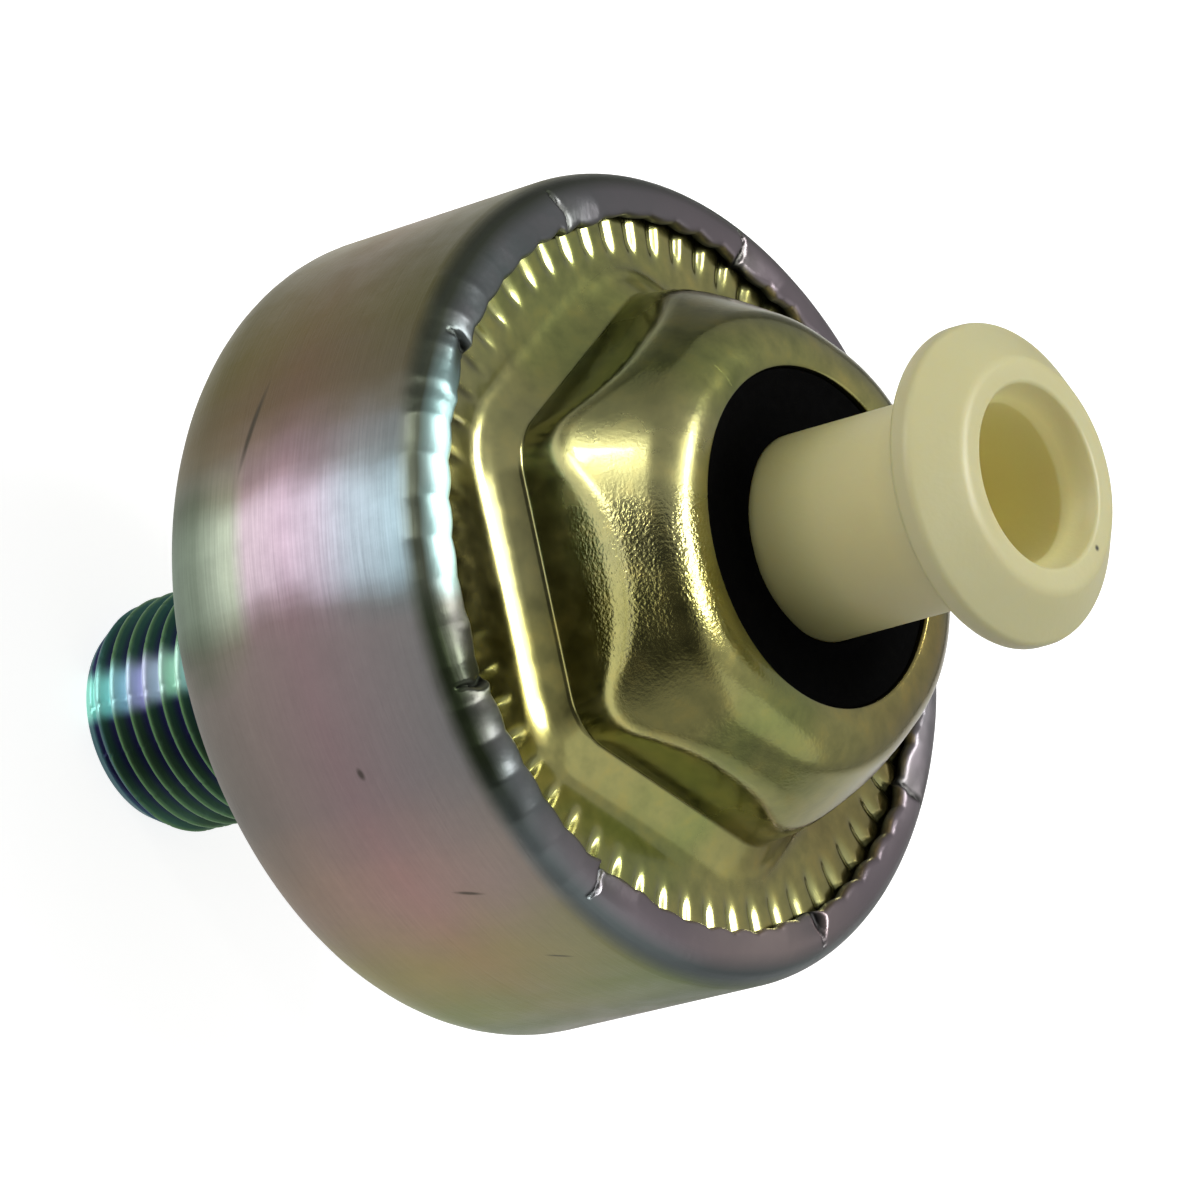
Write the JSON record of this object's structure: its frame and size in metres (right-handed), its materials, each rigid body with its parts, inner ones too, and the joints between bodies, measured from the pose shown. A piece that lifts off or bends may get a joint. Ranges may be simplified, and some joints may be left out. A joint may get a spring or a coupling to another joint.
{
  "type": "engine knock sensor",
  "caption": "Screw-in engine knock sensor: round steel cup with a tapered threaded stud, drawn hexagonal cover and a moulded mushroom-headed connector post.",
  "frame": {"origin": "middle of the cup's underside, where the tapered stud leaves it", "axes": "+Z along the sensor's axis from the stud to the connector post; +X square to one flat of the hexagonal cover"},
  "size_m": [0.0342, 0.0342, 0.0474],
  "materials": {
    "housing_zinc": "satin, iridescent zinc passivate",
    "cover_zinc": "glossy olive-gold zinc passivate",
    "post_plastic": "moulded ivory",
    "potting": "matt black casting",
    "seal_rubber": "moulded rubber",
    "pin_brass": "turned brass",
    "spring_bronze": "drawn bronze wire",
    "piezo_ceramic": "fired silver face",
    "plate_steel": "rolled spring steel",
    "resistor_body": "coated ceramic",
    "tinned_wire": "tinned copper wire",
    "solder": "bright solder"
  },
  "bodies": {
    "root": {"threaded_housing": "housing_zinc", "hex_cover": "cover_zinc", "terminal_post": "post_plastic", "potting_seal": "potting", "cover_seal_ring": "seal_rubber", "terminal_pin": "pin_brass", "contact_spring": "spring_bronze", "piezo_disc": "piezo_ceramic", "resonator_plate": "plate_steel", "spacer_ring": "plate_steel", "load_resistor": "resistor_body", "resistor_live_lead": "tinned_wire", "resistor_ground_lead": "tinned_wire", "live_solder_joint": "solder", "ground_solder_joint": "solder"}
  },
  "joints": []
}
